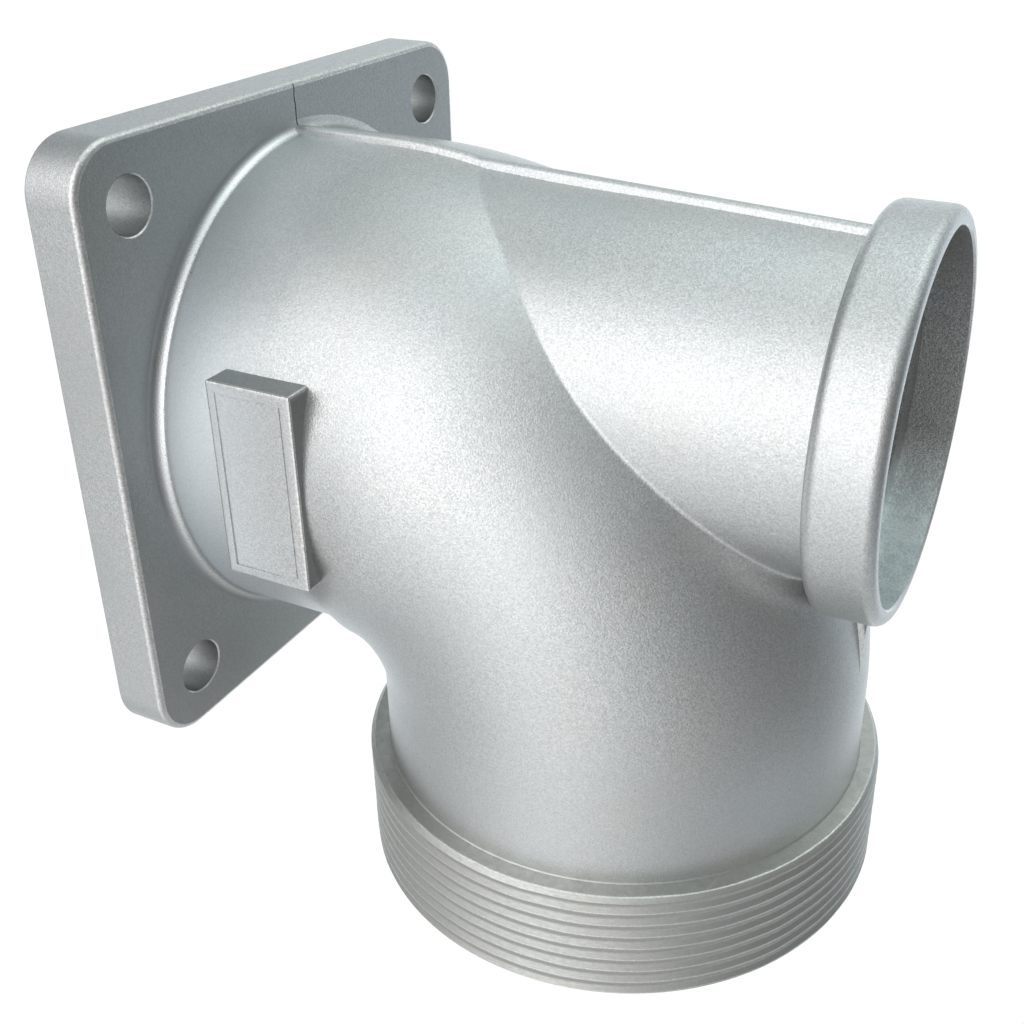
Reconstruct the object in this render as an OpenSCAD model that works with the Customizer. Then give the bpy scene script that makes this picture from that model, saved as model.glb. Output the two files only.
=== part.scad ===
// Pump outlet elbow: one hollow aluminium casting, built in millimetres.
// The square flange bolts down flat on the pump, so its mounting face is z = 0 and its
// centre is the origin. The waterway rises along +Z and bends to the threaded outlet,
// which points along +X. The filler neck stands upright behind the bend, and the
// casting's parting plane is y = 0.

/* [Flange] */
// Side of the square flange
flange_side = 96.8; // [92:0.2:108]
// Thickness of the flange
flange_thick = 8.8; // [6:0.2:12]
// Radius of the flange's four corners
flange_corner_r = 8.2; // [4:0.2:10]
// Radius of the rounded edge round the flange's front face
flange_edge_r = 0.9; // [0.5:0.1:2]
// Distance from the flange's edge to the centre of a bolt hole
bolt_inset = 9.9; // [8:0.1:11]
// Diameter of the four bolt holes
bolt_hole_d = 8.6; // [6:0.1:10]

/* [Elbow body] */
// Outer radius of the elbow's round body
body_r = 40.5; // [36:0.1:42]
// Thickness of the elbow's wall
wall = 5; // [3:0.5:7]
// Height of the outlet's axis above the mounting face
outlet_height = 67.5; // [62:0.5:80]
// Extra radius of the bend's centre line over the body's own radius
bend_extra = 0.4; // [0.3:0.1:4]
// Fillet between the flange and the body
root_fillet_r = 2; // [0.8:0.1:3]

/* [Threaded outlet] */
// Major diameter of the three inch parallel pipe thread
thread_major_d = 87.884; // [86:0.001:96]
// Pitch of the thread, eleven turns to the inch
thread_pitch = 2.309; // [2:0.001:3]
// Turns of thread on the outlet
thread_turns = 8.5; // [6:0.5:11]
// Distance from the flange's axis to the shoulder behind the thread
shoulder_x = 55; // [50:0.2:64]
// Radius of the bore through the threaded end
outlet_bore_r = 37.5; // [36:0.1:39.5]
// Chamfer between the shoulder and the thread
shoulder_chamfer = 1.4; // [0.6:0.1:1.8]
// Chamfer at the thread's outer end
thread_chamfer = 0.7; // [0.4:0.1:1.4]

/* [Filler neck] */
// Distance of the neck's axis from the flange's axis, away from the outlet
filler_offset = 10.8; // [8:0.1:12]
// Height of the mouth above the mounting face
mouth_height = 112.8; // [108:0.2:130]
// Outer radius of the neck just below its rim
neck_r = 25.3; // [24:0.1:27]
// Draft of the neck in degrees, which widens it downwards
neck_draft = 2.7; // [1:0.1:4]
// Radius of the passage through the neck
filler_bore_r = 20.5; // [17:0.5:21.5]

/* [Rim of the filler neck] */
// Wall of the rim round its socket
rim_wall = 2.7; // [2.3:0.1:4]
// Height of the rim's band
rim_height = 10; // [9:0.1:14]
// Radius of the socket that takes the filler plug
socket_r = 27; // [25:0.1:27.6]
// Depth of the socket down to its seat
socket_depth = 7.2; // [4:0.1:8]
// Rounding of the rim's outer edge at the mouth
rim_lip_r = 1.7; // [0.6:0.1:2]
// Rounding of the rim's lower edge
rim_back_r = 1.9; // [0.6:0.1:2.5]

/* [Name boss] */
// Length of the bare boss along the outlet's direction
boss_len = 31.2; // [20:0.2:36]
// Distance of the boss's centre from the flange's axis, towards the filler neck
boss_back = 0.4; // [0:0.1:2]
// Height of the boss
boss_high = 14.4; // [10:0.2:18]
// Height of the boss's centre above the mounting face
boss_z = 27.8; // [24:0.2:34]
// Height by which the boss's face stands out from the body at its nearest point
boss_proud = 1.2; // [1:0.1:3]
// Distance of the cut border line from the boss's edge
border_inset = 1.5; // [1:0.1:3]
// Width of the cut border line
border_width = 0.4; // [0.3:0.1:1]
// Depth of the cut border line
border_depth = 0.3; // [0.2:0.1:0.8]

/* [Parting ridge] */
// Height of the ridge left along the parting plane
ridge_high = 1.2; // [0.6:0.1:2]
// Width of that ridge
ridge_width = 2; // [1:0.2:3]
// Depth below the top of the level pipe at which the ridge is trimmed flat
ridge_trim = 0.4; // [0.2:0.1:1]

/* [Hidden] */
$fn = 96;

// Length by which a cutting tool runs past the face that it cuts
past = 1;
// Waterway inside the wall, and the centre line of the bend
bore_r = body_r - wall;
bend_r = body_r + bend_extra;
// Height at which the upright leg ends and the bend begins
bend_z = outlet_height - bend_r;
// Threaded end
thread_r = thread_major_d / 2;
thread_len = thread_turns * thread_pitch;
outlet_x = shoulder_x + thread_len;
// Cone inside the threaded end that widens the waterway to the outlet's bore: how far
// past the shoulder it starts, and its run
flare_start = shoulder_chamfer;
flare_len = outlet_bore_r - bore_r;
// Rim and neck of the filler
rim_r = socket_r + rim_wall;
rim_z = mouth_height - rim_height;
neck_base_z = bend_z;
neck_base_r = neck_r + (rim_z - neck_base_z) * tan(neck_draft);
// Chamfer at the mouth's inner edge
mouth_edge = 0.3;
// Side of the square on whose corners the bolt holes lie
bolt_spacing = flange_side - 2 * bolt_inset;
// Distance of the boss's face from the parting plane
boss_face_y = body_r + boss_proud;

// One pipe that rises, turns through a right angle about the bend's centre and runs
// level to end_x; r is its radius, and low_z is where it starts.
module elbow_pipe(r, low_z, end_x)
{
    translate([0, 0, low_z])
        cylinder(r = r, h = bend_z - low_z);
    translate([bend_r, 0, bend_z])
        rotate([90, 0, 0])
            rotate_extrude(angle = 90, start = 90)
                translate([bend_r, 0])
                    circle(r = r);
    translate([bend_r, 0, outlet_height])
        rotate([0, 90, 0])
            cylinder(r = r, h = end_x - bend_r);
}

// Outline of the flange, drawn in by inset on every side
module flange_outline(inset)
{
    side = flange_side - 2 * inset;
    r = flange_corner_r - inset;
    square([side, side - 2 * r], center = true);
    square([side - 2 * r, side], center = true);
    for (sx = [-1, 1], sy = [-1, 1])
        translate([sx * (side / 2 - r), sy * (side / 2 - r)])
            circle(r = r);
}

// Flat plate whose front edge is rounded all the way round
module flange_plate()
{
    straight = flange_side - 2 * flange_corner_r;
    edge_z = flange_thick - flange_edge_r;
    linear_extrude(edge_z)
        flange_outline(0);
    linear_extrude(flange_thick)
        flange_outline(flange_edge_r);
    for (turn = [0:90:270])
        rotate([0, 0, turn])
        {
            translate([flange_side / 2 - flange_edge_r, straight / 2, edge_z])
                rotate([90, 0, 0])
                    cylinder(r = flange_edge_r, h = straight);
            translate([straight / 2, straight / 2, edge_z])
                rotate_extrude(angle = 90)
                    translate([flange_corner_r - flange_edge_r, 0])
                        circle(r = flange_edge_r);
        }
}

// Fillet ring between the flange and the upright leg
module root_fillet()
{
    translate([0, 0, flange_thick])
        rotate_extrude()
            difference()
            {
                square([body_r + root_fillet_r, root_fillet_r]);
                translate([body_r + root_fillet_r, root_fillet_r])
                    circle(r = root_fillet_r);
            }
}

// Band that carries the pipe thread, plain at its major diameter, chamfered at both ends
module thread_band()
{
    translate([shoulder_x, 0, outlet_height])
        rotate([0, 90, 0])
            rotate_extrude()
                polygon([
                    [0, 0],
                    [thread_r - shoulder_chamfer, 0],
                    [thread_r, shoulder_chamfer],
                    [thread_r, thread_len - thread_chamfer],
                    [thread_r - thread_chamfer, thread_len],
                    [0, thread_len]
                ]);
}

// Conical neck behind the bend
module filler_neck()
{
    translate([-filler_offset, 0, neck_base_z])
        cylinder(r1 = neck_base_r, r2 = neck_r, h = rim_z - neck_base_z);
}

// Section of the rim: a band with both outer edges rounded
module rim_section()
{
    square([rim_r - rim_back_r, rim_height - rim_lip_r]);
    square([rim_r - rim_lip_r, rim_height]);
    translate([0, rim_back_r])
        square([rim_r, rim_height - rim_back_r - rim_lip_r]);
    translate([rim_r - rim_back_r, rim_back_r])
        circle(r = rim_back_r);
    translate([rim_r - rim_lip_r, rim_height - rim_lip_r])
        circle(r = rim_lip_r);
}

module filler_rim()
{
    translate([-filler_offset, 0, rim_z])
        rotate_extrude()
            intersection()
            {
                rim_section();
                square([rim_r, rim_height]);
            }
}

// Bare boss with a fine cut border, on the side that faces -Y
module name_boss()
{
    difference()
    {
        translate([-boss_back - boss_len / 2, -boss_face_y, boss_z - boss_high / 2])
            cube([boss_len, boss_face_y - bore_r, boss_high]);
        difference()
        {
            border_block(border_inset, border_depth);
            border_block(border_inset + border_width, border_depth + past);
        }
    }
}

// Block that cuts into the boss's face by depth, drawn in by inset on every side
module border_block(inset, depth)
{
    translate([
        -boss_back - boss_len / 2 + inset,
        -boss_face_y - past,
        boss_z - boss_high / 2 + inset
    ])
        cube([boss_len - 2 * inset, depth + past, boss_high - 2 * inset]);
}

// Silhouette of the leg, bend and neck in the parting plane, grown by the ridge's height
// and trimmed flat where the pipe runs level
module ridge_outline()
{
    r = body_r + ridge_high;
    translate([-r, flange_thick])
        square([2 * r, bend_z - flange_thick]);
    intersection()
    {
        translate([bend_r, bend_z])
            circle(r = bend_r + r);
        translate([-r, bend_z])
            square([bend_r + r, bend_r + body_r - ridge_trim]);
    }
    polygon([
        [-filler_offset - neck_base_r - ridge_high, neck_base_z],
        [-filler_offset + neck_base_r + ridge_high, neck_base_z],
        [-filler_offset + neck_r + ridge_high, rim_z],
        [-filler_offset - neck_r - ridge_high, rim_z]
    ]);
}

module parting_ridge()
{
    translate([0, ridge_width / 2, 0])
        rotate([90, 0, 0])
            linear_extrude(ridge_width)
                ridge_outline();
}

// Everything that is open inside: the main waterway, the outlet's wider bore with the
// cone that leads to it, the neck's passage and the socket for the filler plug
module waterway()
{
    elbow_pipe(bore_r, -past, outlet_x + past);
    translate([shoulder_x + flare_start, 0, outlet_height])
        rotate([0, 90, 0])
        {
            cylinder(r1 = bore_r, r2 = outlet_bore_r, h = flare_len);
            translate([0, 0, flare_len])
                cylinder(r = outlet_bore_r, h = thread_len + past);
        }
    translate([-filler_offset, 0, bend_z])
        cylinder(r = filler_bore_r, h = mouth_height - bend_z);
    translate([-filler_offset, 0, mouth_height])
    {
        translate([0, 0, -socket_depth])
            cylinder(r = socket_r, h = socket_depth + past);
        translate([0, 0, -mouth_edge])
            cylinder(r1 = socket_r, r2 = socket_r + mouth_edge + past, h = mouth_edge + past);
    }
}

module bolt_holes()
{
    for (sx = [-1, 1], sy = [-1, 1])
        translate([sx * bolt_spacing / 2, sy * bolt_spacing / 2, -past])
            cylinder(d = bolt_hole_d, h = flange_thick + 2 * past);
}

module outlet_elbow()
{
    color("silver")
        difference()
        {
            union()
            {
                flange_plate();
                root_fillet();
                elbow_pipe(body_r, 0, shoulder_x + shoulder_chamfer);
                thread_band();
                filler_neck();
                filler_rim();
                name_boss();
                parting_ridge();
            }
            waterway();
            bolt_holes();
        }
}

outlet_elbow();
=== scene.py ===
# %% [markdown]
# # A cast pump outlet elbow
#
# The real object is one hollow aluminium die casting. Water comes up through the square
# flange, turns through a right angle and leaves through the threaded end. A second,
# smaller neck stands behind the bend, and water is poured in there to prime the pump.
#
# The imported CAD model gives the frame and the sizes. This script makes one finer mesh
# that takes the CAD solid's place, with the soft crease, the helical thread, the rounded
# edges and the grain of the skin that the plain solid doesn't have.

# %% The frame
import math

import bmesh
import bpy
import numpy as np
from mathutils import Matrix, Vector, noise


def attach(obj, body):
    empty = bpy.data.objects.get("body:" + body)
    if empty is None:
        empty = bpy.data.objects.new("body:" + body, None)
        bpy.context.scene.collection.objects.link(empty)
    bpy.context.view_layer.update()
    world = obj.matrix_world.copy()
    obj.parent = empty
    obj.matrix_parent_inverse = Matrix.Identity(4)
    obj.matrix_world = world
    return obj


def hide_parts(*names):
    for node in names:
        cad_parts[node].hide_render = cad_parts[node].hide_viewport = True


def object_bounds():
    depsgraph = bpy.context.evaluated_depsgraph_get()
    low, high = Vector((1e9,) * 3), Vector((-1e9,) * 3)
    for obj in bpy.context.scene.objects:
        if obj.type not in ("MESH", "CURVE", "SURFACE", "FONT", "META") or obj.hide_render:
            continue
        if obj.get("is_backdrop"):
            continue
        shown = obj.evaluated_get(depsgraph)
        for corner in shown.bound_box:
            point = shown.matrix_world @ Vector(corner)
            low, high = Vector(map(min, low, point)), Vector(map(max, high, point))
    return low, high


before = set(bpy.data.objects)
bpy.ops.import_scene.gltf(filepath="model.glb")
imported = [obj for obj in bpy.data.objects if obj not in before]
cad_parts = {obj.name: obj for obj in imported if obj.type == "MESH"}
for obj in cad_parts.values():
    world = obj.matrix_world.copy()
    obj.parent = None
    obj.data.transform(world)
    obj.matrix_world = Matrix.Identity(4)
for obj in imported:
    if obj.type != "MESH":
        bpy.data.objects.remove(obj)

scene = bpy.context.scene
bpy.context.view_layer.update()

# %% [markdown]
# ## Sizes
#
# A maker works in millimetres, and so does this script until the mesh is finished and
# scaled to metres. The values are those of the part's own source, so that the finer mesh
# lies on the CAD solid.

# %% Sizes of the casting in millimetres
flange_side, flange_thick, flange_corner = 96.8, 8.8, 8.2
flange_edge, flange_back_edge = 0.9, 0.3
bolt_spacing, bolt_hole_r = 77.0, 4.3
body_r, wall, outlet_height = 40.5, 5.0, 67.5
bore_r = body_r - wall
bend_r = body_r + 0.4
bend_z = outlet_height - bend_r
root_fillet = 2.0
thread_r, pitch, thread_turns = 43.942, 2.309, 8.5
shoulder_chamfer, end_chamfer = 1.4, 0.7
shoulder_x = 55.0
outlet_x = shoulder_x + thread_turns * pitch
outlet_bore_r = 37.5
filler_offset, mouth_height = 10.8, 112.8
neck_r, neck_draft, filler_bore_r = 25.3, math.radians(2.7), 20.5
rim_r, rim_height, rim_lip, rim_back = 29.7, 10.0, 1.7, 1.9
rim_z = mouth_height - rim_height
socket_r, socket_depth = 27.0, 7.2
boss_len, boss_high, boss_z, boss_face_y = 31.2, 14.4, 27.8, body_r + 1.2
boss_back, boss_edge = 0.4, 0.4
ridge_high, ridge_width = 1.2, 2.0
ridge_top_z = outlet_height + body_r - 0.4
print("the outlet ends at x =", round(outlet_x, 2), "mm")

# %% Small distances in millimetres, and how finely round pieces are cut
past = 1.0  # a cut runs this far beyond the metal
overlap = 2.0  # joined pieces reach this far into each other
inward = 4.0  # the hidden inner edge of a turned piece lies this far inside a bore
hair = 0.02  # keeps two round faces from falling together
touching = 0.01  # points this close to a plane count as lying in it
body_sides, rim_sides, thread_sides, hole_sides = 128, 144, 160, 48
bend_steps, ridge_steps = 48, 64
print("one side of the body's circle:", round(math.tau * body_r / body_sides, 2), "mm")

# %% [markdown]
# ## Small tools for the mesh
#
# Every piece starts as a bmesh, which is Blender's editable mesh. A boolean then joins it
# to the casting or cuts it away. The Manifold solver is used, because it is fast and
# keeps a closed mesh closed. Each piece carries the same five finishes, so a face keeps
# its own through every join and cut.

# %% Make an object, and join or cut
# PAINTED_SHADE: a darker cast skin, painted shade on the flange's front, holes and boss.
CAST, WORN, MACHINED, INSIDE, PAINTED_SHADE = range(5)
finishes = [bpy.data.materials.new(name) for name in
            ("cast_skin", "worn_edge", "machined", "inner_skin", "painted_shade_skin")]


def to_object(name, bm, finish=CAST):
    """Makes an object of a bmesh. Faces without a finish of their own get this one."""
    for face in bm.faces:
        if face.material_index == CAST:
            face.material_index = finish
    mesh = bpy.data.meshes.new(name)
    for each in finishes:
        mesh.materials.append(each)
    bm.to_mesh(mesh)
    bm.free()
    piece = bpy.data.objects.new(name, mesh)
    scene.collection.objects.link(piece)
    return piece


def bake(piece):
    """Applies the modifiers of a piece to its mesh."""
    graph = bpy.context.evaluated_depsgraph_get()
    mesh = bpy.data.meshes.new_from_object(piece.evaluated_get(graph))
    piece.modifiers.clear()
    piece.data = mesh


def combine(piece, tool, operation):
    """Joins a tool to a piece, or cuts it away, and clears the tool."""
    step = piece.modifiers.new(operation.lower(), "BOOLEAN")
    step.operation = operation
    step.solver = "MANIFOLD"
    step.object = tool
    bake(piece)
    bpy.data.objects.remove(tool)


def shift(piece, x=0.0, y=0.0, z=0.0):
    piece.data.transform(Matrix.Translation((x, y, z)))
    return piece


def wear(piece, is_worn):
    """Gives the worn finish to the faces for which is_worn says yes."""
    for face in piece.data.polygons:
        if is_worn(face):
            face.material_index = WORN


print("finishes:", [each.name for each in finishes])

# %% [markdown]
# Bevels, closed rings of verts and edges, and spun profiles come back often, so each of
# them has a helper as well.

# %% Round, move, close and turn
def verts_of(made):
    return [v for v in made if isinstance(v, bmesh.types.BMVert)]


def round_off(bm, geom, radius, affect, segments):
    """Rounds edges or corners, and gives the new faces. One segment is a flat chamfer."""
    return bmesh.ops.bevel(bm, geom=geom, offset=radius, offset_type="OFFSET",
                           affect=affect, segments=segments, profile=0.5,
                           material=-1)["faces"]


def box(size, centre):
    bm = bmesh.new()
    bmesh.ops.create_cube(bm, size=1)
    bmesh.ops.scale(bm, vec=size, verts=bm.verts[:])
    bmesh.ops.translate(bm, vec=centre, verts=bm.verts[:])
    return bm


def outward(bm):
    bmesh.ops.recalc_face_normals(bm, faces=bm.faces[:])


def cap(bm):
    """Closes the open ends."""
    bmesh.ops.holes_fill(bm, edges=[e for e in bm.edges if e.is_boundary], sides=0)


def split_large(bm):
    bmesh.ops.triangulate(bm, faces=[f for f in bm.faces if len(f.verts) > 4])


def trim(bm, point, outside):
    """Cuts the mesh at a plane, and clears what lies on its outer side."""
    bmesh.ops.bisect_plane(bm, geom=bm.verts[:] + bm.edges[:] + bm.faces[:], dist=1e-5,
                           plane_co=point, plane_no=outside, clear_outer=True)


def lathe(name, corners, rounded, axis, sides, finish=CAST, segments=6):
    """Spins a closed profile about the Z or X axis. corners are (radius, height) pairs,
    and rounded gives the radius to which some of them are rounded, by their place."""
    bm = bmesh.new()
    place = {"Z": lambda r, h: (r, 0, h), "X": lambda r, h: (h, 0, r)}[axis]
    verts = [bm.verts.new(place(r, h)) for r, h in corners]
    bm.faces.new(verts)
    for index, radius in rounded.items():
        round_off(bm, [verts[index]], radius, "VERTICES", segments)
    bmesh.ops.delete(bm, geom=bm.faces[:], context="FACES_ONLY")
    off_axis = (lambda v: v.co.x) if axis == "Z" else (lambda v: v.co.z)
    on_axis = [e for e in bm.edges if all(off_axis(v) < 1e-6 for v in e.verts)]
    bmesh.ops.delete(bm, geom=on_axis, context="EDGES")
    bmesh.ops.spin(bm, geom=bm.edges[:], cent=(0, 0, 0), dvec=(0, 0, 0),
                   axis=(0, 0, 1) if axis == "Z" else (1, 0, 0), angle=math.tau,
                   steps=sides, use_merge=True, use_duplicate=False)
    bmesh.ops.remove_doubles(bm, verts=bm.verts[:], dist=1e-4)
    outward(bm)
    return to_object(name, bm, finish)


# %% [markdown]
# ## The body: one bent pipe
#
# The body is a pipe that rises, turns through a right angle and runs level. A ring of
# edges is extruded up, spun about the centre of the bend, and extruded again, just as the
# pattern for the casting is turned in three parts. The same helper later makes the
# waterway that is cut out of it.

# %% Pipe
def outer_loop(made):
    """The edges between fresh verts, which are the far end of what was just made."""
    fresh = set(verts_of(made))
    return [e for e in made
            if isinstance(e, bmesh.types.BMEdge) and set(e.verts) <= fresh]


def ends_of(loop):
    return list({v for e in loop for v in e.verts})


def raise_loop(bm, vec):
    """Extrudes the open edges of a section, and moves the new ones."""
    loop = outer_loop(bmesh.ops.extrude_edge_only(bm, edges=bm.edges[:])["geom"])
    bmesh.ops.translate(bm, vec=vec, verts=ends_of(loop))
    return loop


def turn_loop(bm, loop, steps):
    """Spins a section through the right angle of the bend."""
    return bmesh.ops.spin(bm, geom=loop + ends_of(loop), cent=(bend_r, 0, bend_z),
                          axis=(0, 1, 0), dvec=(0, 0, 0), angle=math.pi / 2,
                          steps=steps, use_merge=False,
                          use_duplicate=False)["geom_last"]


def bent_pipe(name, radius, low_z, end_x, finish=CAST):
    bm = bmesh.new()
    ring = bmesh.ops.create_circle(bm, cap_ends=False, radius=radius,
                                   segments=body_sides)
    bmesh.ops.translate(bm, verts=ring["verts"], vec=(0, 0, low_z))
    loop = raise_loop(bm, (0, 0, bend_z - low_z))
    turned = outer_loop(turn_loop(bm, loop, bend_steps))
    level = outer_loop(bmesh.ops.extrude_edge_only(bm, edges=turned)["geom"])
    bmesh.ops.translate(bm, verts=ends_of(level), vec=(end_x - bend_r, 0, 0))
    cap(bm)
    outward(bm)
    return to_object(name, bm, finish)


casting = bent_pipe("casting", body_r, flange_thick / 2, shoulder_x + overlap)
print("pipe:", len(casting.data.polygons), "faces")

# %% [markdown]
# ## The filler neck and its crease
#
# The neck is a cone that widens downwards, the draft that lets it leave the mould. Where
# it runs into the bend, the real casting has a crease with a very small fillet. Both
# shapes are joined and remeshed into small even faces, and the points are then drawn onto
# a smooth union of the two: near the crease each point moves out to where the blended
# distance is zero. The width of the blend is the radius times one less the cosine of the
# angle between the surfaces, and that gives the same fillet radius all along the crease.

# %% Neck
neck_base_z = bend_z + 6
neck_top_z = rim_z + overlap


def neck_radius(z):
    return neck_r + (rim_z - z) * math.tan(neck_draft)


bm = bmesh.new()
bmesh.ops.create_cone(bm, cap_ends=True, cap_tris=False, segments=body_sides,
                      radius1=neck_radius(neck_base_z), radius2=neck_radius(neck_top_z),
                      depth=neck_top_z - neck_base_z)
bmesh.ops.translate(bm, verts=bm.verts[:],
                    vec=(-filler_offset, 0, (neck_base_z + neck_top_z) / 2))
combine(casting, to_object("neck", bm), "UNION")
remesh = casting.modifiers.new("even faces", "REMESH")
remesh.mode = "VOXEL"
remesh.voxel_size = 0.9
bake(casting)
print("even skin:", len(casting.data.polygons), "faces")

# %% Distance to the pipe and to the neck
crease_r = 0.9
swell, swell_turned, swell_long = 0.7, 24.5, 12  # mm, and degrees round the bend
swell_dip, swell_dip_wide = 0.5, 9  # the swell is halved along its middle
pinch, pinch_z, pinch_long = 0.25, 57, 12


def hump(value, centre, reach):
    return np.exp(-((value - centre) / reach) ** 2)


def pipe_gap(p):
    """The bend swells a little where the neck grows out of its back."""
    x, y, z = p.T
    level = np.hypot(y, z - outlet_height)
    upright = np.hypot(x, y)
    bend = np.hypot(np.hypot(x - bend_r, z - bend_z) - bend_r, y)
    turned = np.degrees(np.arctan2(z - bend_z, bend_r - x))
    bend -= (swell * hump(turned, swell_turned, swell_long)
             * (1 - swell_dip * hump(y, 0, swell_dip_wide)))
    return np.where(z < bend_z, upright, np.where(x > bend_r, level, bend)) - body_r


def neck_gap(p):
    """The neck is drawn in a little at the same height."""
    x, y, z = p.T
    r = neck_radius(z) - pinch * hump(z, pinch_z, pinch_long)
    return (np.hypot(x + filler_offset, y) - r) * math.cos(neck_draft)


def slope_of(gap, p, step=0.01):
    slope = np.stack([gap(p + d) - gap(p - d) for d in np.eye(3) * step], 1)
    return slope / np.maximum(np.linalg.norm(slope, axis=1), 1e-9)[:, None]


print("the bend swells by", swell, "mm and the neck is drawn in by", pinch, "mm")

# %% The blend of the two
least_width, least_sine, far_off = 0.01, 0.05, 99


def blended(p):
    """Distance to the blended skin, the way out of it, and the distance to the crease."""
    a, b = pipe_gap(p), neck_gap(p)
    out_a, out_b = slope_of(pipe_gap, p), slope_of(neck_gap, p)
    cosine = np.clip((out_a * out_b).sum(1), -1, 1)
    width = crease_r * (1 - cosine) + least_width
    has_neck = p[:, 2] > neck_base_z + 2
    part = np.clip(0.5 + 0.5 * (b - a) / width, 0, 1)
    part = np.where(has_neck, part, 1)
    joined = b * (1 - part) + a * part - width * part * (1 - part)
    way_out = out_b * (1 - part)[:, None] + out_a * part[:, None]
    way_out /= np.linalg.norm(way_out, axis=1)[:, None]
    crease = np.abs(a - b) / np.maximum(np.sqrt(1 - cosine ** 2), least_sine)
    return joined, way_out, np.where(has_neck, crease, far_off)


# %% Draw the skin onto the blend, and make it finer along the crease
draw_rounds, draw_reach = 5, 1.5


def draw_on(bm):
    """Moves the points onto the blended skin. Gives their distance to the crease, and
    the longest move of the last round."""
    points = np.array([v.co for v in bm.verts])
    height = points[:, 2]
    free = (height > flange_thick / 2 + 1) & (height < neck_top_z - 1)
    free &= points[:, 0] < shoulder_x + 1
    for _ in range(draw_rounds):
        gap, way_out, _ = blended(points)
        move = np.where(free & (np.abs(gap) < draw_reach), gap, 0)
        points -= way_out * move[:, None]
    for vert, point in zip(bm.verts, points):
        vert.co = point
    return blended(points)[2], float(np.abs(move).max())


bm = bmesh.new()
bm.from_mesh(casting.data)
crease, left = draw_on(bm)
for reach in (2.4, 1.1):
    bm.verts.ensure_lookup_table()
    along = [e for e in bm.edges if all(crease[v.index] < reach for v in e.verts)]
    bmesh.ops.subdivide_edges(bm, edges=along, cuts=1, use_grid_fill=True)
    bm.verts.index_update()
    crease, left = draw_on(bm)
bm.to_mesh(casting.data)
bm.free()
print("with a finer crease:", len(casting.data.polygons), "faces, largest gap left",
      round(left, 4), "mm")

# %% [markdown]
# ## The flange
#
# The flange is a plate with rounded corners. Its front edge is where a casting is knocked
# about, so it gets a small rounding with a finish of its own, a bright worn line. Its
# back is machined flat, because it seals against the pump.

# %% Flange plate and its fillet
foot_z = flange_thick - 1
bm = box((flange_side, flange_side, flange_thick), (0, 0, flange_thick / 2))
upright = [e for e in bm.edges if abs(e.verts[0].co.z - e.verts[1].co.z) > 1]
round_off(bm, upright, flange_corner, "EDGES", 14)
front = [e for e in bm.edges if all(v.co.z > flange_thick - touching for v in e.verts)]
for face in round_off(bm, front, flange_edge, "EDGES", 4):
    face.material_index = WORN
back = [e for e in bm.edges if all(v.co.z < touching for v in e.verts)]
round_off(bm, back, flange_back_edge, "EDGES", 2)
for face in bm.faces:
    if face.normal.z < -0.9:
        face.material_index = MACHINED
combine(casting, to_object("flange", bm), "UNION")
fillet_ring = lathe("root fillet", [
    (body_r - overlap, foot_z),
    (body_r + root_fillet, foot_z),
    (body_r + root_fillet, flange_thick),
    (body_r - hair, flange_thick),
    (body_r - hair, flange_thick + root_fillet),
    (body_r - overlap, flange_thick + root_fillet),
], {3: root_fillet - hair}, "Z", body_sides)
combine(casting, fillet_ring, "UNION")
print("with flange:", len(casting.data.polygons), "faces")

# %% [markdown]
# ## The rim of the filler neck
#
# The rim is a turned band, rounded at the mouth and at its back.

# %% Rim
rim = lathe("rim", [
    (filler_bore_r - inward, rim_z),
    (rim_r, rim_z),
    (rim_r, mouth_height),
    (filler_bore_r - inward, mouth_height),
], {1: rim_back, 2: rim_lip}, "Z", rim_sides)
combine(casting, shift(rim, x=-filler_offset), "UNION")
print("with rim:", len(casting.data.polygons), "faces")

# %% [markdown]
# ## The name boss
#
# The boss is bare, with a fine border cut into its face. Its edges are worn bright, and
# its sides get the painted shade skin.

# %% Boss
boss_deep = boss_face_y - bore_r
bm = box((boss_len, boss_deep, boss_high),
         (-boss_back, -boss_face_y + boss_deep / 2, boss_z))
in_front = [e for e in bm.edges if not all(v.co.y > -bore_r - 0.1 for v in e.verts)]
edge_faces = round_off(bm, in_front, boss_edge, "EDGES", 2)
bm.normal_update()
# The sides of the boss get the darker skin of painted shade.
for face in bm.faces:
    if abs(face.normal.y) < 0.1:
        face.material_index = PAINTED_SHADE
for face in edge_faces:
    face.material_index = WORN
combine(casting, to_object("boss", bm), "UNION")
print("with boss:", len(casting.data.polygons), "faces")

# %% [markdown]
# The border starts as a flat frame, which is thickened, stood up and cut out of the face.
# It is shallower towards the neck and towards the back.

# %% Border in the boss
border_inset, border_width, border_depth, border_rise = 1.5, 0.4, 0.3, 0.17
bm = bmesh.new()
bmesh.ops.create_grid(bm, x_segments=1, y_segments=1, size=0.5)
bmesh.ops.scale(bm, vec=(boss_len - 2 * border_inset, boss_high - 2 * border_inset, 1),
                verts=bm.verts[:])
bmesh.ops.inset_region(bm, faces=bm.faces[:], thickness=border_width, depth=0,
                       use_boundary=True, use_even_offset=True)
centre = [f for f in bm.faces if f.calc_center_median().length < 0.1
          and f.calc_area() > boss_len * border_width * 2]
bmesh.ops.delete(bm, geom=centre, context="FACES_ONLY")
lifted = bmesh.ops.extrude_face_region(bm, geom=bm.faces[:])["geom"]
bmesh.ops.translate(bm, vec=(0, 0, border_depth + past), verts=verts_of(lifted))
bmesh.ops.rotate(bm, cent=(0, 0, 0), matrix=Matrix.Rotation(math.pi / 2, 3, "X"),
                 verts=bm.verts[:])
bmesh.ops.translate(bm, vec=(-boss_back, -boss_face_y + border_depth, boss_z),
                    verts=bm.verts[:])
for vert in bm.verts:
    if vert.co.z > boss_z or vert.co.x < -boss_back:
        vert.co.y -= border_rise
outward(bm)
combine(casting, to_object("border", bm), "DIFFERENCE")
print("with border:", len(casting.data.polygons), "faces")

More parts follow.
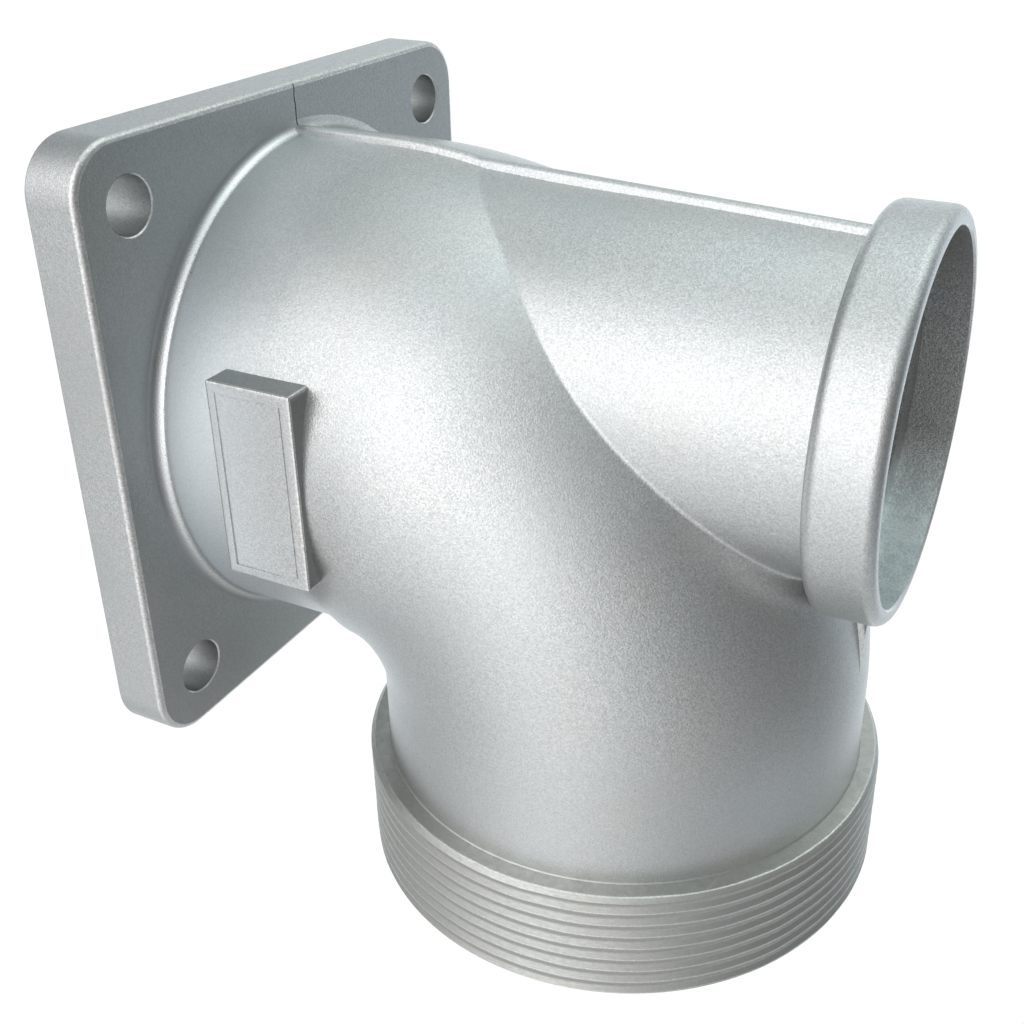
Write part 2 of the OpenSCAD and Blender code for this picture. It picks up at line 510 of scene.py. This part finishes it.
# %% [markdown]
# ## The parting ridge
#
# The two halves of the mould meet in the plane y = 0, and metal that crept between them
# leaves a low ridge with sloping sides and rounded edges. One section is extruded up the
# leg and spun round the bend, and the same section serves on the neck and on the inner
# side of the leg. Where the pipe runs level the ridge has been trimmed flat, so it is cut
# by a level plane there.

# %% Section of the ridge
ridge_slope, ridge_round, ridge_sunk, ridge_narrowed = 0.3, 0.55, 1.3, 0.15


def ridge_section(tip_x, way, z):
    """The ridge cut across at height z, from its root inside the wall out to tip_x."""
    bm = bmesh.new()
    tip = ridge_width / 2 - ridge_narrowed
    root = tip + ridge_slope * (ridge_high + ridge_sunk)
    root_x = tip_x - way * (ridge_high + ridge_sunk)
    verts = [bm.verts.new(p) for p in
             ((root_x, -root, z), (tip_x, -tip, z), (tip_x, tip, z), (root_x, root, z))]
    bm.faces.new(verts)
    round_off(bm, verts[1:3], ridge_round, "VERTICES", 4)
    bmesh.ops.delete(bm, geom=bm.faces[:], context="FACES_ONLY")
    return bm


def close_ridge(name, bm):
    cap(bm)
    outward(bm)
    combine(casting, to_object(name, bm), "UNION")
    print(name, "joined:", len(casting.data.polygons), "faces")


# %% Ridge round the outside of the body
bm = ridge_section(-body_r - ridge_high, -1, foot_z)
turn_loop(bm, raise_loop(bm, (0, 0, bend_z - foot_z)), ridge_steps)
trim(bm, (0, 0, ridge_top_z), (0, 0, 1))
close_ridge("outer ridge", bm)

# %% Ridge on the inner side of the leg and on both sides of the neck
bm = ridge_section(body_r + ridge_high, 1, foot_z)
raise_loop(bm, (0, 0, bend_z - foot_z))
close_ridge("inner ridge", bm)
low, high = bend_z + 8, rim_z + 1
for side in (-1, 1):
    bm = ridge_section(-filler_offset + side * (neck_radius(low) + ridge_high), side, low)
    raise_loop(bm, (side * (neck_radius(high) - neck_radius(low)), 0, high - low))
    close_ridge("neck ridge", bm)

# %% [markdown]
# ## The thread
#
# The outlet carries a parallel pipe thread of eleven turns to the inch. A thread is one
# groove that climbs one pitch for each turn, so the section of a single pitch is spun
# about the outlet's axis while it moves along it. In the photograph its crests stand up
# little, so the groove is kept shallow.

# %% Turns of the thread
crest_flat, root_flat, thread_depth = 0.26, 0.5, 0.3
spare, per_turn = 1.5, 120
slope_run = (pitch - crest_flat - root_flat) / 2
start_x = shoulder_x - spare * pitch
section = [(0, 0), (root_flat / 2, 0), (root_flat / 2 + slope_run, 1),
           (root_flat / 2 + slope_run + crest_flat, 1), (pitch - root_flat / 2, 0),
           (pitch, 0)]
bm = bmesh.new()
verts = [bm.verts.new((start_x + x, 0, thread_r - thread_depth * (1 - up)))
         for x, up in section]
for a, b in zip(verts, verts[1:]):
    bm.edges.new((a, b))
turns = math.ceil(thread_turns + 2 * spare)
bmesh.ops.spin(bm, geom=bm.verts[:] + bm.edges[:], cent=(0, 0, 0), axis=(1, 0, 0),
               dvec=(pitch / per_turn, 0, 0), angle=math.tau * turns,
               steps=per_turn * turns, use_merge=False, use_duplicate=False)
bmesh.ops.remove_doubles(bm, verts=bm.verts[:], dist=0.003)
print("turns spun:", turns, "with", len(bm.faces), "faces")

# %% [markdown]
# The crests are worn bright. No cut thread is quite even, so a slow noise takes a little
# off it here and there and lets it stray a little along the axis. The surface is then
# trimmed square at both ends and closed.

# %% Wear, unevenness and square ends
crest_band = 0.05
uneven, uneven_scale = 0.06, 0.35
stray, stray_scale = 0.15, 0.12
for face in bm.faces:
    middle = face.calc_center_median()
    if math.hypot(middle.y, middle.z) > thread_r - crest_band:
        face.material_index = WORN
for vert in bm.verts:
    out = Vector((0, vert.co.y, vert.co.z)).normalized()
    vert.co -= out * uneven * (1 + noise.noise(vert.co * uneven_scale))
    vert.co.x += stray * noise.noise(vert.co * stray_scale)
for x, way in ((shoulder_x, -1), (outlet_x, 1)):
    trim(bm, (x, 0, 0), (way, 0, 0))
cap(bm)
split_large(bm)
outward(bm)
print("thread closed:", all(e.is_manifold for e in bm.edges), len(bm.faces), "faces")
thread = to_object("thread", bm, MACHINED)

# %% [markdown]
# A chamfered blank takes the sharp start off each end and carries the narrow worn step at
# the shoulder, and a small bead stands where the body meets it.

# %% Blank and shoulder bead
blank_inner_r, shoulder_step, worn_wide = 10, 0.95, 0.25
bead, bead_sunk = 0.2, 0.05
blank = lathe("blank", [
    (blank_inner_r, shoulder_x), (thread_r - shoulder_step, shoulder_x),
    (thread_r - shoulder_step + worn_wide, shoulder_x + worn_wide / 2),
    (thread_r, shoulder_x + 1), (thread_r, outlet_x), (blank_inner_r, outlet_x),
], {4: end_chamfer}, "X", thread_sides, MACHINED, 1)
wear(blank, lambda face: -0.95 < face.normal.x < -0.8)
combine(thread, blank, "INTERSECT")
combine(casting, shift(thread, z=outlet_height), "UNION")
bead_ring = lathe("shoulder bead", [
    (body_r - 1, shoulder_x - bead), (body_r, shoulder_x - bead),
    (body_r + bead, shoulder_x + bead_sunk), (body_r - 1, shoulder_x + bead_sunk),
], {}, "X", thread_sides, MACHINED)
combine(casting, shift(bead_ring, z=outlet_height), "UNION")
print("with thread:", len(casting.data.polygons), "faces")

# %% [markdown]
# ## What is cut away
#
# The waterway, the wider bore through the thread, the filler's passage and socket, and
# the four bolt holes are cut last, so that each cut goes clean through whatever it meets.
# The edges of the mouth and of the holes are broken by a small worn chamfer.

# %% Waterway and outlet bore
combine(casting, bent_pipe("waterway", bore_r, -past, outlet_x + past, INSIDE),
        "DIFFERENCE")
flare_x = shoulder_x + shoulder_chamfer
flare_run = outlet_bore_r - bore_r
bore = lathe("outlet bore", [
    (bore_r - inward, flare_x - 3), (bore_r - hair, flare_x - 3),
    (bore_r - hair, flare_x), (outlet_bore_r, flare_x + flare_run),
    (outlet_bore_r, outlet_x + past), (bore_r - inward, outlet_x + past),
], {}, "X", rim_sides, MACHINED)
combine(casting, shift(bore, z=outlet_height), "DIFFERENCE")
print("waterway open:", len(casting.data.polygons), "faces")

# %% Filler passage and socket
mouth_wear = 0.3
ledge_z = mouth_height - socket_depth
well = lathe("filler passage", [
    (0, bend_z + 5), (filler_bore_r, bend_z + 5), (filler_bore_r, ledge_z),
    (socket_r, ledge_z), (socket_r, mouth_height - mouth_wear),
    (socket_r + mouth_wear + past, mouth_height + past), (0, mouth_height + past),
], {}, "Z", rim_sides, INSIDE)
wear(well, lambda face: 0.3 < abs(face.normal.z) < 0.9
     and face.center.z > mouth_height - 1)
combine(casting, shift(well, x=-filler_offset), "DIFFERENCE")
print("bored:", len(casting.data.polygons), "faces")

# %% Bolt holes
hole_wear = 0.2
# The walls of the bolt holes get the darker skin of painted shade.
for sx in (-1, 1):
    for sy in (-1, 1):
        hole = lathe("bolt hole", [
            (0, -past), (bolt_hole_r, -past), (bolt_hole_r, flange_thick - hole_wear),
            (bolt_hole_r + hole_wear + past, flange_thick + past),
            (0, flange_thick + past),
        ], {}, "Z", hole_sides, PAINTED_SHADE)
        wear(hole, lambda face: abs(face.normal.z) > 0.5
             and face.center.z > flange_thick - 0.5)
        combine(casting, shift(hole, x=sx * bolt_spacing / 2, y=sy * bolt_spacing / 2),
                "DIFFERENCE")
print("drilled:", len(casting.data.polygons), "faces")

# %% [markdown]
# The mould also leaves a hairline across the flange's front, from its back edge to the
# foot of the ridge. It isn't quite straight.

# %% Fine parting line on the flange's face
line_half, line_deep, line_tall = 0.13, 0.25, 2
line = [(-flange_side / 2 - 1, 0.1), (-flange_side / 2 + 1.2, 0.12), (-46.2, -0.05),
        (-44.6, 0.1), (-body_r - root_fillet + 0.8, 0)]
outline = [(x, y - line_half) for x, y in line]
outline += [(x, y + line_half) for x, y in reversed(line)]
bm = bmesh.new()
strip = bm.faces.new([bm.verts.new((x, y, flange_thick - line_deep))
                      for x, y in outline])
lifted = bmesh.ops.extrude_face_region(bm, geom=[strip])["geom"]
bmesh.ops.translate(bm, vec=(0, 0, line_tall), verts=verts_of(lifted))
outward(bm)
combine(casting, to_object("parting line", bm, INSIDE), "DIFFERENCE")
print("with parting line:", len(casting.data.polygons), "faces")

# %% [markdown]
# ## Finish of the mesh
#
# The flange's front gets the painted shade skin, and the mesh is scaled to metres. Edges
# that turn by more than 32 degrees stay sharp, the rest are shaded smooth, and weighted
# normals keep the large faces flat.

# %% Scale, shading and triangles
weld, sharp_turn, flat_weight = 0.002, 32, 60
mesh = casting.data
bm = bmesh.new()
bm.from_mesh(mesh)
bm.normal_update()
# The flange's front is darkened with the painted shade skin.
for face in bm.faces:
    at_front = abs(face.calc_center_median().z - flange_thick) < touching
    if face.normal.z > 0.99 and at_front:
        face.material_index = PAINTED_SHADE
bmesh.ops.remove_doubles(bm, verts=bm.verts[:], dist=weld)
bmesh.ops.dissolve_degenerate(bm, edges=bm.edges[:], dist=weld)
split_large(bm)
bmesh.ops.scale(bm, vec=(0.001,) * 3, verts=bm.verts[:])
bm.to_mesh(mesh)
open_edges = sum(not e.is_manifold for e in bm.edges)
bm.free()
mesh.shade_smooth()
mesh.set_sharp_from_angle(angle=math.radians(sharp_turn))
weighted = casting.modifiers.new("flat faces stay flat", "WEIGHTED_NORMAL")
weighted.keep_sharp = True
weighted.weight = flat_weight
casting.name = "elbow_casting"
mesh.calc_loop_triangles()
print("triangles:", len(mesh.loop_triangles), "edges that aren't closed:", open_edges)

# %% [markdown]
# ## The cast skin
#
# A shot blasted die casting is bright but not shiny. Its skin is covered with dimples
# about a quarter of a millimetre across. A fine noise gives the dimples, and moves the
# roughness and the colour with them. Cells of about the same size are each a little
# lighter or darker, as grains that catch the light one by one, and they fade along the
# barrel. A broad noise adds the slow changes of tone of a real casting, slightly warm in
# one place and slightly cool in another, and a third one makes the dimples and the grains
# stronger here and weaker there.

# %% Node helpers
def feed(tree, socket, value):
    """Links an output to a socket, or sets the socket to a number, vector or colour."""
    if isinstance(value, bpy.types.NodeSocket):
        tree.links.new(value, socket)
    elif socket.type == "RGBA":
        socket.default_value = (*value, 1)
    else:
        socket.default_value = value


def node(tree, kind, **values):
    """Makes a node. A value goes to the input of its name, or else to the setting."""
    made = tree.nodes.new(kind)
    for key, value in values.items():
        if key in made.inputs:
            feed(tree, made.inputs[key], value)
        else:
            setattr(made, key, value)
    return made


def fill(tree, made, *values):
    """Feeds the first inputs of a node in turn, and gives the node back."""
    for socket, value in zip(made.inputs, values):
        feed(tree, socket, value)
    return made


def maths(tree, operation, *values):
    return fill(tree, node(tree, "ShaderNodeMath", operation=operation),
                *values).outputs[0]


def product(tree, first, *others):
    for other in others:
        first = maths(tree, "MULTIPLY", first, other)
    return first


def vectors(tree, operation, *values):
    return fill(tree, node(tree, "ShaderNodeVectorMath", operation=operation), *values)


# %% Noise, ramps and blends
def cloud(tree, coords, scale, detail=3.0, rough=0.5):
    return node(tree, "ShaderNodeTexNoise", Vector=coords, Scale=scale, Detail=detail,
                Roughness=rough).outputs["Fac"]


def cells(tree, coords, scale):
    return node(tree, "ShaderNodeTexVoronoi", Vector=coords, Scale=scale).outputs


def spread(tree, value, low, high, out_low=0, out_high=1):
    """Maps low to out_low and high to out_high, and holds those values beyond them."""
    made = node(tree, "ShaderNodeMapRange", clamp=True)
    return fill(tree, made, value, low, high, out_low, out_high).outputs["Result"]


def band(tree, value, rise, fall):
    """One between the rise and the fall, each a (from, to) pair, and nothing outside."""
    return product(tree, spread(tree, value, *rise), spread(tree, value, *fall, 1, 0))


def blend(tree, factor, a, b):
    return node(tree, "ShaderNodeMix", data_type="RGBA", Factor=factor, A=a,
                B=b).outputs["Result"]


# %% One recipe for every finish
broad_scale, patch_scale, grain_scale = 85.0, 38.0, 4700
wide, middle, narrow = (0.28, 0.72), (0.3, 0.7), (0.35, 0.65)  # of a noise's range
fine_share, patchy_share, tint_share = 0.75, 0.25, 0.3
cool_tint, warm_tint = (0.965, 1.0, 1.015), (1.02, 0.995, 0.96)
grain_range, bump_range = (0.7, 1.3), (0.55, 1.25)
barrel_x, barrel_fade = (0.025, 0.048), (1.0, 0.5)
dimple_deep = 0.0001


def tinted(colour, tint):
    return tuple(v * k for v, k in zip(colour, tint))


def metal(finish, dark, light, rough_low, rough_high, dimples, bump, grains,
          stretch=(1, 1, 1)):
    """Gives a finish its look, and returns what a later step may add to."""
    made = finishes[finish]
    made.use_nodes = True
    tree = made.node_tree
    shader = tree.nodes["Principled BSDF"].inputs
    shader["Metallic"].default_value = 1.0
    coords = node(tree, "ShaderNodeTexCoord").outputs["Object"]
    place = node(tree, "ShaderNodeSeparateXYZ", Vector=coords).outputs
    drawn = node(tree, "ShaderNodeMapping", Vector=coords, Scale=stretch)
    fine = cloud(tree, drawn.outputs["Vector"], dimples, 2.0, 0.6)
    broad = cloud(tree, coords, broad_scale, 3.0, 0.55)
    patchy = cloud(tree, coords, patch_scale, 2.0, 0.5)

    tone = maths(tree, "ADD", spread(tree, fine, *wide, 0, fine_share),
                 spread(tree, patchy, *middle, 0, patchy_share))
    tint = blend(tree, spread(tree, broad, *narrow), tinted(light, cool_tint),
                 tinted(light, warm_tint))
    colour = blend(tree, tint_share, blend(tree, tone, dark, light), tint)
    glint = maths(tree, "SUBTRACT", cells(tree, coords, grain_scale)["Color"], 0.5)
    reach = spread(tree, patchy, *narrow, *(v * grains for v in grain_range))
    reach = product(tree, reach, spread(tree, place["X"], *barrel_x, *barrel_fade))
    lit = vectors(tree, "SCALE", colour)
    feed(tree, lit.inputs["Scale"],
         maths(tree, "ADD", product(tree, glint, reach), 1.0))
    colour = lit.outputs[0]
    feed(tree, shader["Base Color"], colour)

    rough = spread(tree, fine, *middle, rough_high, rough_low)
    feed(tree, shader["Roughness"], rough)
    strength = spread(tree, patchy, *middle, *(v * bump for v in bump_range))
    relief = node(tree, "ShaderNodeBump", Distance=dimple_deep, Height=fine,
                  Strength=strength)
    feed(tree, shader["Normal"], relief.outputs["Normal"])
    print("finish:", made.name, "with", len(tree.nodes), "nodes")
    return tree, shader, place, coords, colour, rough


# %% Worn edges and machined faces
metal(WORN, dark=(0.58, 0.58, 0.565), light=(0.82, 0.82, 0.80), rough_low=0.26,
      rough_high=0.40, dimples=2000, bump=0.6, grains=0.45)
metal(MACHINED, dark=(0.45, 0.45, 0.425), light=(0.60, 0.60, 0.57), rough_low=0.32,
      rough_high=0.46, dimples=900, bump=0.3, grains=0.2, stretch=(5, 1, 1))

# %% [markdown]
# The painted shade skin is for the flange's front, the bolt holes and the sides of the
# boss: a darker colour that paints shade there. It is darkest round the boss, but not at
# the boss's back end.

# %% Painted shade skin
tree, shader, place, _, colour, _ = metal(
    PAINTED_SHADE, dark=(0.36, 0.37, 0.37), light=(0.445, 0.455, 0.455), rough_low=0.33,
    rough_high=0.42, dimples=3600, bump=0.5, grains=0.25)
above_z, from_x = (0.012, 0.016), (-0.0158, -0.0150)  # in metres
boss_shade_share, boss_shade_colour = 0.6, (0.20, 0.205, 0.205)
# Painted shade: the boss's sides are darkened further, but not its back end.
boss_side_shade = product(tree, spread(tree, place["Z"], *above_z, 0, boss_shade_share),
                    spread(tree, place["X"], *from_x))
feed(tree, shader["Base Color"], blend(tree, boss_side_shade, colour, boss_shade_colour))

# %% [markdown]
# The wall of the socket is dark at the back. On the side of the outlet it is painted pale
# and mottled, a painted light where light falls in through the mouth.

# %% Inner skin, with painted light on the outlet side of the socket
tree, shader, place, coords, colour, _ = metal(
    INSIDE, dark=(0.30, 0.30, 0.295), light=(0.42, 0.42, 0.415), rough_low=0.46,
    rough_high=0.60, dimples=2400, bump=0.7, grains=0.55)
painted_light_x, painted_light_z, painted_light_gain = (0.002, 0.013), (0.104, 0.1055), (2.4, 2.6, 2.65)
blot_scale, blot_from, blot_share = 420, (0.35, 0.6), (0.75, 1.0)
# Painted light: the outlet side of the socket is made paler, in mottled blots.
painted_light_side = product(tree, spread(tree, place["X"], *painted_light_x),
                    spread(tree, place["Z"], *painted_light_z))
blot = spread(tree, cloud(tree, coords, blot_scale, 3.0, 0.6), *blot_from, *blot_share)
painted_light_colour = vectors(tree, "MULTIPLY", colour, painted_light_gain).outputs[0]
feed(tree, shader["Base Color"],
     blend(tree, product(tree, painted_light_side, blot), colour, painted_light_colour))

# %% [markdown]
# Four things are added to the cast skin. The fillet at the flange is smooth and has a
# painted highlight, with a thin line of painted shade in the crease where it meets the
# flange. The foot of the leg above it is rough and painted pale as painted light, most
# of all on the side of the boss. Here and there a tiny dark pit stays in the surface.

# %% Where the fillet highlight, crease shade and foot light are painted
tree, shader, place, coords, colour, rough = metal(
    CAST, dark=(0.56, 0.57, 0.565), light=(0.70, 0.71, 0.705), rough_low=0.29,
    rough_high=0.38, dimples=4000, bump=0.5, grains=0.36)
x, y, z = (place[axis] for axis in "XYZ")
# each pair is a from and a to, in metres
foot_rise, foot_fall, foot_y = (0.0102, 0.0112), (0.012, 0.031), (-0.036, -0.020)
fillet_rise, fillet_fall = (0.0090, 0.0095), (0.0102, 0.0110)
fillet_y, fillet_x = (-0.006, 0.001), (0.0, 0.02)
crease_shade_rise, crease_shade_fall, crease_shade_y = (0.0087, 0.0088), (0.0089, 0.0096), (-0.003, 0.005)
# Painted light on the foot of the leg, which is also made rougher.
rough_lit_foot = product(tree, band(tree, z, foot_rise, foot_fall),
               spread(tree, y, *foot_y, 1, 0.5))
# Painted highlight along the fillet, on the boss's side.
fillet_highlight = product(tree, band(tree, z, fillet_rise, fillet_fall),
                 spread(tree, y, *fillet_y, 1, 0), spread(tree, x, *fillet_x, 1, 0.3))
# Painted shade: a thin dark line in the crease where the fillet meets the flange.
crease_shade = product(tree, band(tree, z, crease_shade_rise, crease_shade_fall),
               spread(tree, y, *crease_shade_y, 1, 0))

# %% Their looks, and the small pits
fillet_smoother, foot_rougher = 0.12, 0.3
foot_light_share, fillet_highlight_share, pit_share = 0.65, 0.8, 0.35
foot_light_colour, fillet_highlight_colour = (0.88, 0.95, 0.99), (0.90, 0.91, 0.92)
crease_shade_colour, pit_colour = (0.42, 0.43, 0.43), (0.2, 0.2, 0.19)
pit_scale, pit_edge = 230, (0.03, 0.06)
few_scale, few_from = 120, (0.52, 0.62)
rough = maths(tree, "SUBTRACT", rough, product(tree, fillet_highlight, fillet_smoother))
rough = maths(tree, "ADD", rough, product(tree, rough_lit_foot, foot_rougher))
feed(tree, shader["Roughness"], rough)
# The foot's painted light.
colour = blend(tree, product(tree, rough_lit_foot, foot_light_share), colour, foot_light_colour)
# The fillet's painted highlight.
colour = blend(tree, product(tree, fillet_highlight, fillet_highlight_share), colour, fillet_highlight_colour)
# The crease's painted shade.
colour = blend(tree, crease_shade, colour, crease_shade_colour)
few = spread(tree, cloud(tree, coords, few_scale, 1.0), *few_from)
middle_of_cell = cells(tree, coords, pit_scale)["Distance"]
pit = product(tree, spread(tree, middle_of_cell, *pit_edge, 1, 0), few)
colour = blend(tree, product(tree, pit, pit_share), colour, pit_colour)
feed(tree, shader["Base Color"], colour)
used = np.empty(len(mesh.polygons), dtype=np.int32)
mesh.polygons.foreach_get("material_index", used)
print("faces by finish:", np.bincount(used, minlength=len(finishes)).tolist())

# %% [markdown]
# ## Floor, light and camera
#
# The object rests on its flange on a large pale floor, which the camera sees as white.

# %% Floor
floor_size, floor_glow, floor_seen, floor_grey = 4, 0.35, 0.9, 0.35


def added(tree, *shaders):
    return fill(tree, node(tree, "ShaderNodeAddShader"), *shaders).outputs[0]


bm = bmesh.new()
bmesh.ops.create_grid(bm, x_segments=1, y_segments=1, size=floor_size)
floor = to_object("floor", bm)
floor.data.materials.clear()
floor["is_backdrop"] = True
floor.visible_shadow = False
floor.visible_glossy = False
pale = bpy.data.materials.new("pale_floor")
pale.use_nodes = True
tree = pale.node_tree
tree.nodes.clear()
path = node(tree, "ShaderNodeLightPath").outputs
glow = node(tree, "ShaderNodeEmission", Color=(1, 1, 1),
            Strength=spread(tree, path["Is Camera Ray"], 0, 1, floor_glow, floor_seen))
matt = node(tree, "ShaderNodeBsdfDiffuse", Color=(floor_grey,) * 3)
node(tree, "ShaderNodeOutputMaterial",
     Surface=added(tree, matt.outputs[0], glow.outputs[0]))
floor.data.materials.append(pale)
print("floor:", floor_size * 2, "m a side")

# %% [markdown]
# The metal sees a soft room that is brightest low down on the camera's side and darkest
# overhead. Each light is a soft patch that falls away from its middle, and the tighter it
# is, the faster it falls. The camera sees the world as white, and a little of that white
# is mixed into what the metal sees.

# %% World with its soft lights
def direction(azimuth, elevation):
    a, e = math.radians(azimuth), math.radians(elevation)
    return Vector((math.cos(a) * math.cos(e), math.sin(a) * math.cos(e), math.sin(e)))


# azimuth and elevation in degrees, tightness, strength, colour
soft_lights = {
    "window": (-127, -12, 5.9, 1.32, (0.99, 1.0, 1.02)),
    "window side": (-91, -6.5, 10.4, 0.78, (1.0, 1.0, 1.01)),
    "window foot": (-127, -42, 11.0, 0.34, (1.0, 1.0, 0.99)),
    "door": (162, 9.4, 4.8, 1.28, (0.91, 1.01, 1.01)),
    "room": (-55, -5, 1.9, 0.82, (0.98, 1.0, 1.02)),
    "high window": (80, 28, 16.0, 0.38, (0.84, 1.0, 1.16)),
    "roof light": (8, 38, 20.0, 0.28, (0.86, 1.0, 1.10)),
    "far wall": (65, -20, 3.5, 1.40, (0.93, 1.0, 1.04)),
    "bench": (-46, -11, 22.0, 0.14, (0.98, 1.0, 1.02)),
    "upper door": (137, 24, 25.0, 0.30, (0.95, 1.0, 0.98)),
}
faint_white = 0.07
world = bpy.data.worlds.new("soft_room")
scene.world = world
world.use_nodes = True
tree = world.node_tree
tree.nodes.clear()
way = node(tree, "ShaderNodeTexCoord").outputs["Generated"]
room = None
for azimuth, elevation, tightness, strength, colour in soft_lights.values():
    facing = vectors(tree, "DOT_PRODUCT", way, direction(azimuth, elevation))
    bright = maths(tree, "EXPONENT",
                   maths(tree, "MULTIPLY_ADD", facing.outputs["Value"], tightness,
                         math.log(strength) - tightness))
    light = node(tree, "ShaderNodeBackground", Color=colour, Strength=bright).outputs[0]
    room = light if room is None else added(tree, room, light)
path = node(tree, "ShaderNodeLightPath").outputs
white = node(tree, "ShaderNodeBackground", Color=(1, 1, 1)).outputs[0]
whiteness = maths(tree, "MAXIMUM",
                  maths(tree, "MULTIPLY_ADD", path["Is Glossy Ray"], faint_white,
                        path["Is Camera Ray"]),
                  path["Is Transmission Ray"])
seen = fill(tree, node(tree, "ShaderNodeMixShader"), whiteness, room, white)
node(tree, "ShaderNodeOutputWorld", Surface=seen.outputs[0])
print("soft lights:", len(soft_lights))

# %% [markdown]
# The camera was fitted to the photograph, and it is turned because the photographed part
# stands on its outlet.

# %% Camera
lens_px, centre_x, centre_y, frame_px = 1307.8, 563.6, 449.4, 1024
view_from, view_turn = (-0.08912, -0.16983, 0.13906), (-26.36, -64.024, 89.59)
camera_data = bpy.data.cameras.new("camera")
camera = bpy.data.objects.new("camera", camera_data)
scene.collection.objects.link(camera)
camera.location = view_from
camera.rotation_euler = [math.radians(v) for v in view_turn]
camera_data.sensor_width = 36
camera_data.lens = lens_px / frame_px * camera_data.sensor_width
camera_data.shift_x = (frame_px / 2 - centre_x) / frame_px
camera_data.shift_y = (centre_y - frame_px / 2) / frame_px
camera_data.clip_start = 0.005
scene.camera = camera
scene.view_settings.view_transform = "Standard"
print("lens:", round(camera_data.lens, 1), "mm")

# %% Hand over to the frame
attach(casting, "root")
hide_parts("outlet_elbow")
low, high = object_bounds()
print("visual box in mm", [round(v * 1000, 1) for v in (*low, *high)])
